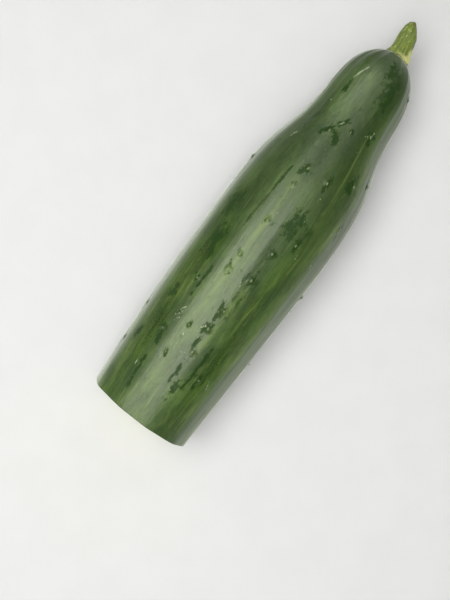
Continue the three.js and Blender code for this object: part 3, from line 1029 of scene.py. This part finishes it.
def flesh():
    angle = np.arange(SKIN_COLUMNS) * TURN / SKIN_COLUMNS
    skin_rim, _, _ = skin_radius(np.full_like(angle, SKIN_START), angle)
    reach = skin_rim - SKIN_THICKNESS + FLESH_OVERLAP
    shares = np.array([(ring + 1) / FLESH_RINGS for ring in range(FLESH_RINGS)])
    radius = shares[:, None] * reach[None, :]
    turn = np.broadcast_to(angle, radius.shape)
    height, depth, wall, vein = flesh_height(radius, turn, reach)
    front = fruit_place(-height, turn, radius)
    below = fruit_place(np.full_like(angle, FLESH_THICKNESS), angle, reach - 0.02)
    middle_height = flesh_height(np.zeros(1), np.zeros(1), np.array([CUT_RADIUS]))[0][0]
    ends = [middle_place(-middle_height), middle_place(FLESH_THICKNESS)]
    points = np.concatenate([front.reshape(-1, 3), below] + ends)
    under = reach - radius
    rays = soft_noise(turn * RAYS / TURN, radius / 9, 0.7, 24, RAYS)
    fringe = soft_noise(turn * RAYS / TURN / 4, radius / 9, 1.7, 25, RAYS // 4)
    under = under * (1 + 0.22 * rays) + 0.35 * rays + 0.9 * fringe * smooth(radius / 8)
    rest = np.zeros(SKIN_COLUMNS + 2)
    fields = {
        "depth": np.append(under.ravel(), rest + 9), "gel": np.append(depth.ravel(), rest),
        "wall": np.append(wall.ravel(), rest), "vein": np.append(vein.ravel(), rest),
    }
    faces = tube_faces(FLESH_RINGS + 1, SKIN_COLUMNS)
    centre = points[-2, 1:]
    flat = 0.5 + (points[:, 1:] - centre) / (FLESH_UV_RADII * CUT_RADIUS)
    back_ring = slice(FLESH_RINGS * SKIN_COLUMNS, (FLESH_RINGS + 1) * SKIN_COLUMNS)
    flat[back_ring] = BACK_UV_PLACE + (flat[back_ring] - 0.5) * BACK_UV_SIZE
    flat[-1] = BACK_UV_PLACE
    uvs = [flat[corner] for face in faces for corner in face]
    piece = add_mesh("flesh", points, faces, uvs, fields)
    piece.data.materials.append(flesh_material())


# Many small closed domes in one piece

def pooled(parts):
    """Points and faces of several meshes as one."""
    points = []
    faces = []
    start = 0
    for part_points, part_faces in parts:
        points.append(part_points)
        faces += [tuple(corner + start for corner in face) for face in part_faces]
        start += len(part_points)
    return np.concatenate(points), faces


def seeds():
    parts = []
    rims = []
    chance = np.random.default_rng(9)
    lift = np.linspace(0.5, -0.5, SEED_ROWS + 2)[1:-1] * math.pi
    angle = np.arange(SEED_COLUMNS) * TURN / SEED_COLUMNS
    up, around = np.meshgrid(lift, angle, indexing="ij")
    level = np.sin(up)
    outline = np.cos(up)
    long = outline * np.cos(around)
    narrow = 0.88 + 0.16 * long - 0.22 * long**4
    high = SEED_HEIGHT * (np.sign(level) * np.abs(level) ** 0.75 - 0.18 * (1 - outline) ** 2)
    rim = np.append(smooth((outline.ravel() - 0.62) / 0.3), [0, 0])
    floor_height = FLESH_BULGE - GEL_DEPTH + 0.02
    for chamber in range(CHAMBERS):
        for side in (-1, 1):
            for pair in SEED_PAIRS:
                turn = CHAMBER_TURN + chamber * TURN / CHAMBERS + side * pair["spread"]
                lean = turn + side * pair["lean"] + chance.uniform(*SEED_LEANS)
                own_size = pair["size"] * chance.uniform(*SEED_SIZES)
                y = 0.5 * SEED_LENGTH * own_size * long
                x = 0.5 * SEED_WIDTH * own_size * outline * np.sin(around) * narrow
                centre_y = pair["radius"] * math.sin(turn)
                centre_z = pair["radius"] * math.cos(turn)
                spot_y = centre_y + y * math.sin(lean) + x * math.cos(lean)
                spot_z = centre_z + y * math.cos(lean) - x * math.sin(lean)
                where = np.arctan2(spot_y, spot_z)
                body = fruit_place(-(high + floor_height), where, np.hypot(spot_y, spot_z))
                ends = np.array([-SEED_HEIGHT * 0.82 - floor_height, SEED_HEIGHT - floor_height])
                centre = np.full(2, math.atan2(centre_y, centre_z))
                caps = fruit_place(ends, centre, np.full(2, math.hypot(centre_y, centre_z)))
                shell = np.concatenate([body.reshape(-1, 3), caps])
                parts.append((shell, tube_faces(SEED_ROWS, SEED_COLUMNS)))
                rims.append(rim)
    points, faces = pooled(parts)
    piece = add_mesh("seeds", points, faces, None, {"rim": np.concatenate(rims)})
    piece.data.materials.append(seed_material())


def wart_tips():
    """The small corky scar on each wart's tip."""
    parts = []
    chance = np.random.default_rng(77)
    lift = np.linspace(0.5, -0.2, TIP_ROWS + 1)[1:] * math.pi
    angle = np.arange(TIP_COLUMNS) * TURN / TIP_COLUMNS
    up, around = np.meshgrid(lift, angle, indexing="ij")
    for along, degrees, width in WARTS:
        turn = math.radians(degrees)
        at = np.array([float(along)])
        radius, _, _ = skin_radius(at, np.array([turn]))
        foot = fruit_place(at, np.array([turn]), radius)[0]
        ahead = fruit_place(at + 0.5, np.array([turn]), radius)[0] - foot
        aside = fruit_place(at, np.array([turn + 0.02]), radius)[0] - foot
        ahead = ahead / np.linalg.norm(ahead)
        aside = aside / np.linalg.norm(aside)
        outward = np.cross(ahead, aside)
        size = width * chance.uniform(*TIP_SIZES)
        lean = chance.uniform(*TIP_LEANS)
        along_tip = math.cos(lean) * ahead + math.sin(lean) * aside
        across_tip = math.cos(lean) * aside - math.sin(lean) * ahead
        ragged = 1 + 0.2 * np.cos(2 * around + chance.uniform(0, 6))
        ragged = ragged + 0.15 * np.cos(3 * around + chance.uniform(0, 6))
        long = np.cos(up) * np.cos(around) * ragged * size * chance.uniform(*TIP_STRETCHES)
        wide = np.cos(up) * np.sin(around) * ragged * size
        high = np.sin(up) * size * TIP_RISE
        body = foot + long[..., None] * along_tip + wide[..., None] * across_tip + high[..., None] * outward
        ends = np.array([foot + TIP_RISE * size * outward, foot - TIP_SINK * size * outward])
        shell = np.concatenate([body.reshape(-1, 3), ends])
        parts.append((shell, tube_faces(TIP_ROWS, TIP_COLUMNS)))
    points, faces = pooled(parts)
    piece = add_mesh("wart_tips", points, faces)
    piece.data.materials.append(tip_material())


# Stem

def stem():
    angle = np.arange(STEM_COLUMNS) * TURN / STEM_COLUMNS
    shares = np.array(spaced(STEM_RUNS))
    share, turn = np.meshgrid(shares, angle, indexing="ij")
    round_y = np.sin(turn)
    round_z = np.cos(turn)
    groove = STEM_GROOVE * np.cos(3 * STEM_RIDGES * turn + 1.1 * soft_noise(share * 4, round_z, round_y, 31))
    lumps = STEM_LUMPS * soft_noise(share * 14, round_z * 4, round_y * 4, 32)
    pimples = STEM_PIMPLES * np.maximum(soft_noise(share * 34, round_z * 11, round_y * 11, 33), 0.1)
    near_foot = 1 - smooth(share / COLLAR_SHARE)
    collar = COLLAR_WAVE * np.cos(STEM_RIDGES * turn + 0.5) * (1 - smooth(share / 0.14))
    collar = collar + COLLAR_LOBES * soft_noise(round_y * 2.2, round_z * 2.2, 0.4, 35) * near_foot
    collar = collar - COLLAR_LOBES * np.clip(round_y, 0, 1) * near_foot
    right = smooth((-round_y - 0.2) / 0.7)
    knobs = KNOBS * np.maximum(soft_noise(share * 17, round_z * 3, round_y * 3, 36), 0)
    knobs = knobs * right * (1 - smooth((share - 0.1) / 0.5))
    ridged = stem_radius(share) * (1 + stem_ridge(share, turn) + groove)
    radius = ridged + lumps + pimples + collar + knobs
    corner = CORNER_ROUND * np.clip(round_y + 0.2, 0, 1) * smooth((share - CORNER_FROM) / 0.28)
    rings = list(stem_place(share, turn, radius, corner))
    rim = radius[-1]
    rough = soft_noise(angle * 3, 0.5, 0.5, 34)
    for size, sink, _ in STEM_END_RINGS:
        deep = sink + (0.14 * rough + corner[-1]) * size
        rings.append(stem_place(np.ones_like(angle), angle, rim * size, deep))
    count = len(STEM_END_RINGS) * STEM_COLUMNS
    pith = np.repeat([pith_share for _, _, pith_share in STEM_END_RINGS], STEM_COLUMNS)
    pith = np.append(np.zeros(share.size), pith)
    foot = stem_place(np.zeros(1), np.zeros(1), np.zeros(1))
    top = stem_place(np.ones(1), np.zeros(1), np.zeros(1), 0.5)
    points = np.concatenate(rings + [foot, top])
    pale = (1 - smooth(share / 0.24)) * np.clip(0.5 - 0.7 * round_y, 0, 1)
    pale = np.maximum(pale, (1 - smooth((share - 0.1) / 0.55)) * smooth((-round_y - 0.5) / 0.4))
    pale = np.append(pale, np.zeros(count + 2))
    dry = smooth((share - 0.80) / 0.2) * np.clip(0.75 - 0.6 * np.sin(turn + 0.35), 0, 1)
    dry = np.append(dry, np.ones(count + 2))
    dry[-2] = 0
    fields = {"pith": np.append(pith, [0, 0.8]), "pale": pale, "dry": dry}
    reach = list(STEM_UV_START + STEM_UV_REACH * shares)
    reach += [STEM_END_UV_START + STEM_END_UV_STEP * row for row in range(len(STEM_END_RINGS))]
    faces = tube_faces(len(rings), STEM_COLUMNS)
    piece = add_mesh("stalk", points, faces, tube_uvs(reach, STEM_COLUMNS), fields)
    piece.data.materials.append(stem_material())
    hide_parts("stem")


# Floor, lights and camera

def floor():
    mesh = bpy.data.meshes.new("floor")
    corners = [(x * FLOOR_REACH, y * FLOOR_REACH, 0) for x, y in ((-1, -1), (1, -1), (1, 1), (-1, 1))]
    mesh.from_pydata(corners, [], [(0, 1, 2, 3)])
    piece = bpy.data.objects.new("floor", mesh)
    bpy.context.scene.collection.objects.link(piece)
    material, tree, shader = start_material("floor_pale", Roughness=0.7)
    grain = noise(tree, 60, 1, 3, 0.5)
    colour = blend(tree, spread(tree, grain, 0.3, 0.7), FLOOR_LOW, FLOOR_HIGH)
    wire(tree, shader, Base_Color=colour)
    mesh.materials.append(material)


def softbox(name, place, aim, size, power):
    """A rectangular light at a place in metres that looks at another place."""
    light = bpy.data.lights.new(name, "AREA")
    light.shape = "RECTANGLE"
    light.size, light.size_y = size
    light.energy = power
    lamp = bpy.data.objects.new(name, light)
    bpy.context.scene.collection.objects.link(lamp)
    lamp.location = place
    lamp.visible_camera = False
    look = Vector(aim) - Vector(place)
    lamp.rotation_euler = look.to_track_quat("-Z", "Y").to_euler()


def studio():
    world = bpy.data.worlds.new("studio")
    bpy.context.scene.world = world
    bpy.context.scene.view_settings.view_transform = "Standard"
    world.use_nodes = True
    tree = world.node_tree
    background = tree.nodes["Background"]
    background.inputs["Color"].default_value = WORLD_COLOUR
    coordinates = tree.nodes.new("ShaderNodeTexCoord")
    direction = tree.nodes.new("ShaderNodeSeparateXYZ")
    tree.links.new(coordinates.outputs["Generated"], direction.inputs["Vector"])
    strength = spread(tree, direction.outputs["Z"], *CEILING_FROM_TO, WALL_LIGHT, CEILING_LIGHT)
    tree.links.new(strength, background.inputs["Strength"])
    for box in SOFTBOXES:
        softbox(*box)


def camera():
    data = bpy.data.cameras.new("camera")
    data.lens = CAMERA_LENS
    data.sensor_width = 36
    data.clip_start = 0.01
    eye = bpy.data.objects.new("camera", data)
    bpy.context.scene.collection.objects.link(eye)
    x = (CAMERA_AHEAD_OF_CUT + SHIFT[0]) * MM
    eye.location = (x, (CAMERA_ASIDE + SHIFT[1]) * MM, CAMERA_HEIGHT * MM)
    eye.rotation_euler = (0, 0, math.radians(CAMERA_TURN))
    bpy.context.scene.camera = eye


camera()
skin()
flesh()
seeds()
wart_tips()
stem()
floor()
studio()
